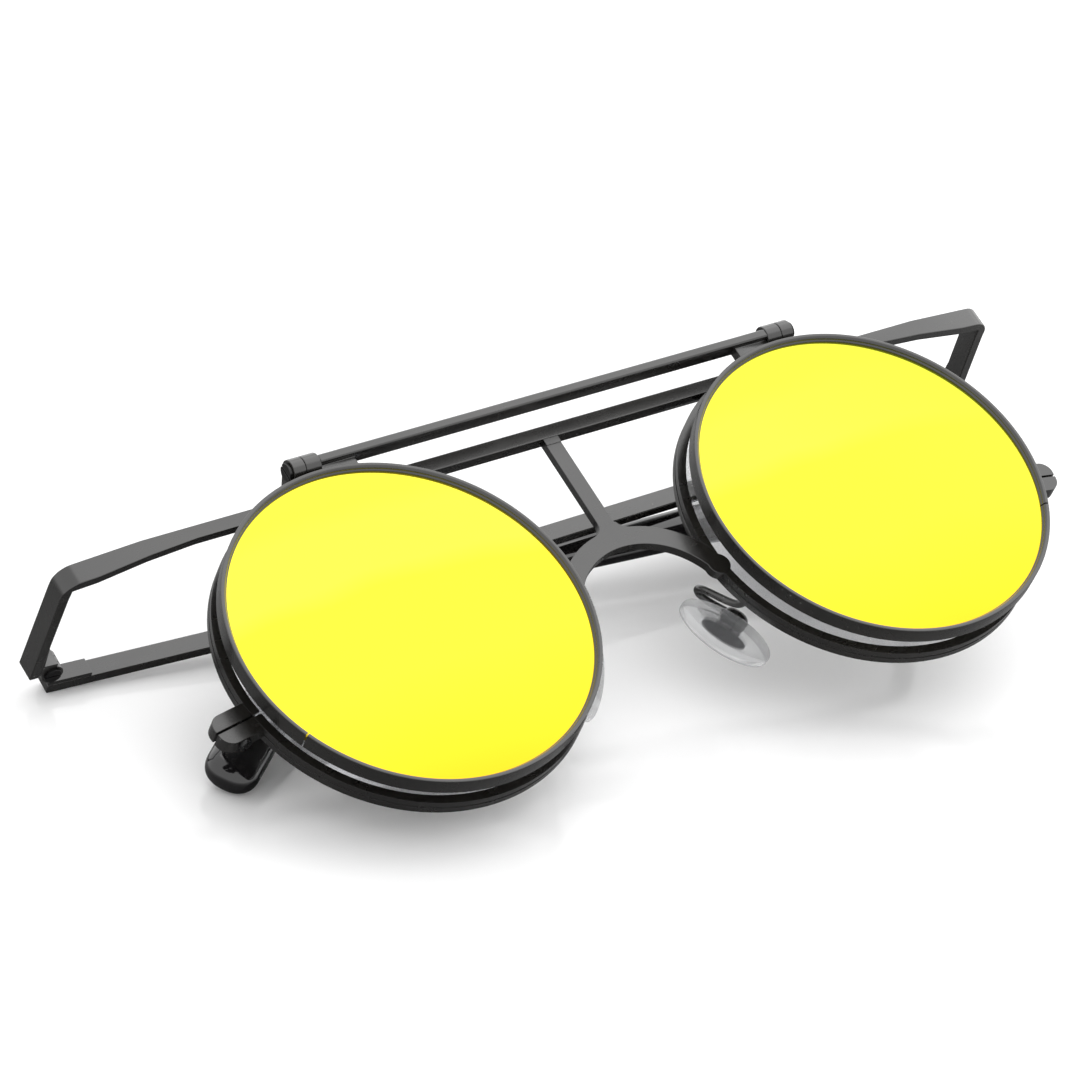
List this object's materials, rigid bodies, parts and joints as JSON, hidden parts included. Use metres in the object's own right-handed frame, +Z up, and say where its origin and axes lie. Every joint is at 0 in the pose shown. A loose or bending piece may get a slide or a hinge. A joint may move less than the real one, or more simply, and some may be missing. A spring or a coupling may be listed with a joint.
{
  "type": "flip-up sunglasses",
  "caption": "Round metal sunglasses with a flip-up mirrored lens front over clear lenses, a straight brow bar, soft nose pads and folding temples with sleeves.",
  "frame": {"origin": "on the table plane under the middle of the folded part's bounding box", "axes": "+Z up, out of the table; +X across the front, to the right as the lenses are looked at; +Y towards the brow bar"},
  "size_m": [0.1436, 0.0534, 0.0348],
  "materials": {
    "black_frame": "satin black paint",
    "black_acetate": "polished",
    "clear_silicone": "clear, slightly milky",
    "pad_metal": "plain metal",
    "screw_steel": "blackened",
    "clear_lens": "clear with a faint blue tint",
    "mirror_lens": "yellow mirror coat"
  },
  "bodies": {
    "front": {"front_bar": "black_frame", "bar_backing": "black_frame", "bridge": "black_frame", "base_rim_left": "black_frame", "base_lens_left": "clear_lens", "rim_lock_upper_left": "black_frame", "rim_lock_lower_left": "black_frame", "lock_screw_left": "screw_steel", "pad_arm_left": "black_frame", "pad_box_left": "black_frame", "pad_screw_left": "screw_steel", "hinge_leaf_left": "black_frame", "hinge_screw_left": "screw_steel", "flip_bracket_left": "black_frame", "base_rim_right": "black_frame", "base_lens_right": "clear_lens", "rim_lock_upper_right": "black_frame", "rim_lock_lower_right": "black_frame", "lock_screw_right": "screw_steel", "pad_arm_right": "black_frame", "pad_box_right": "black_frame", "pad_screw_right": "screw_steel", "hinge_leaf_right": "black_frame", "hinge_screw_right": "screw_steel", "flip_bracket_right": "black_frame"},
    "flip_front": {"flip_bar": "black_frame", "flip_rim_left": "black_frame", "flip_lens_left": "mirror_lens", "flip_knuckle_left": "black_frame", "flip_screw_left": "screw_steel", "flip_rim_right": "black_frame", "flip_lens_right": "mirror_lens", "flip_knuckle_right": "black_frame", "flip_screw_right": "screw_steel"},
    "temple_left": {"temple_leaf_left": "black_frame", "temple_strip_left": "black_frame", "temple_tip_left": "black_acetate"},
    "nose_pad_left": {"nose_pad_left": "clear_silicone", "pad_insert_left": "pad_metal"},
    "temple_right": {"temple_leaf_right": "black_frame", "temple_strip_right": "black_frame", "temple_tip_right": "black_acetate"},
    "nose_pad_right": {"nose_pad_right": "clear_silicone", "pad_insert_right": "pad_metal"}
  },
  "joints": [
    {"name": "flip_hinge", "type": "hinge", "parent": "front", "child": "flip_front", "pos_m": [-0.00148, 0.0197, 0.03066], "axis": [-0.9977, 0, -0.0684], "range_deg": [0, 100]},
    {"name": "temple_hinge_left", "type": "hinge", "parent": "front", "child": "temple_left", "pos_m": [-0.06832, 0.0243, 0.00406], "axis": [0.0432, 0.9489, 0.3127], "range_deg": [0, 93.39]},
    {"name": "temple_hinge_right", "type": "hinge", "parent": "front", "child": "temple_right", "pos_m": [0.06836, 0.0243, 0.01344], "axis": [0.0778, -0.9492, -0.305], "range_deg": [0, 97.02]},
    {"name": "nose_pad_rock_left", "type": "hinge", "parent": "front", "child": "nose_pad_left", "pos_m": [-0.01237, -0.00739, 0.00851], "axis": [-0.0583, 0.3989, -0.9151], "range_deg": [-8, 8]},
    {"name": "nose_pad_rock_right", "type": "hinge", "parent": "front", "child": "nose_pad_right", "pos_m": [0.01232, -0.00739, 0.0102], "axis": [-0.1827, -0.3989, 0.8986], "range_deg": [-8, 8]}
  ]
}
